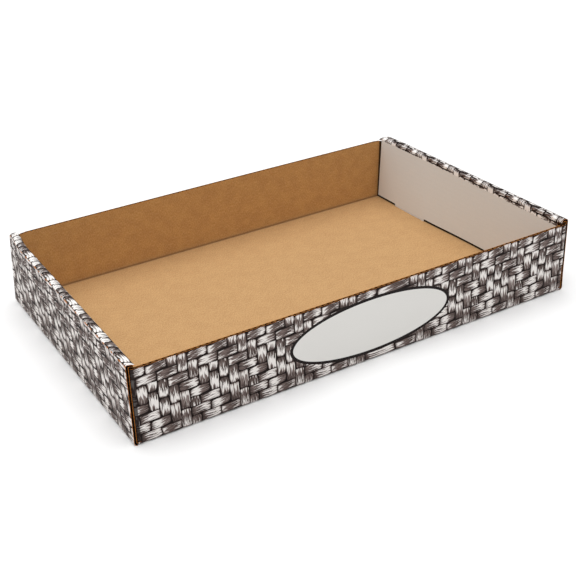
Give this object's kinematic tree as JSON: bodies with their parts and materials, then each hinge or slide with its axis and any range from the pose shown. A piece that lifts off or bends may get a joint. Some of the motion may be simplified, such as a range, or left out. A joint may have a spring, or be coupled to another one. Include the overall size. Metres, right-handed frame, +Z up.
{
  "type": "corrugated cardboard display tray",
  "caption": "Open shallow tray folded from one printed corrugated sheet, with plain long walls and rolled double end walls that lock into the floor.",
  "frame": {"origin": "centre of the underside", "axes": "+X along the length from left end to right end, +Y from the front wall to the back wall, +Z up"},
  "size_m": [0.536, 0.34, 0.09],
  "materials": {
    "board": "matt kraft inside, printed white liner outside"
  },
  "bodies": {
    "root": {"tray": "board"}
  },
  "joints": []
}
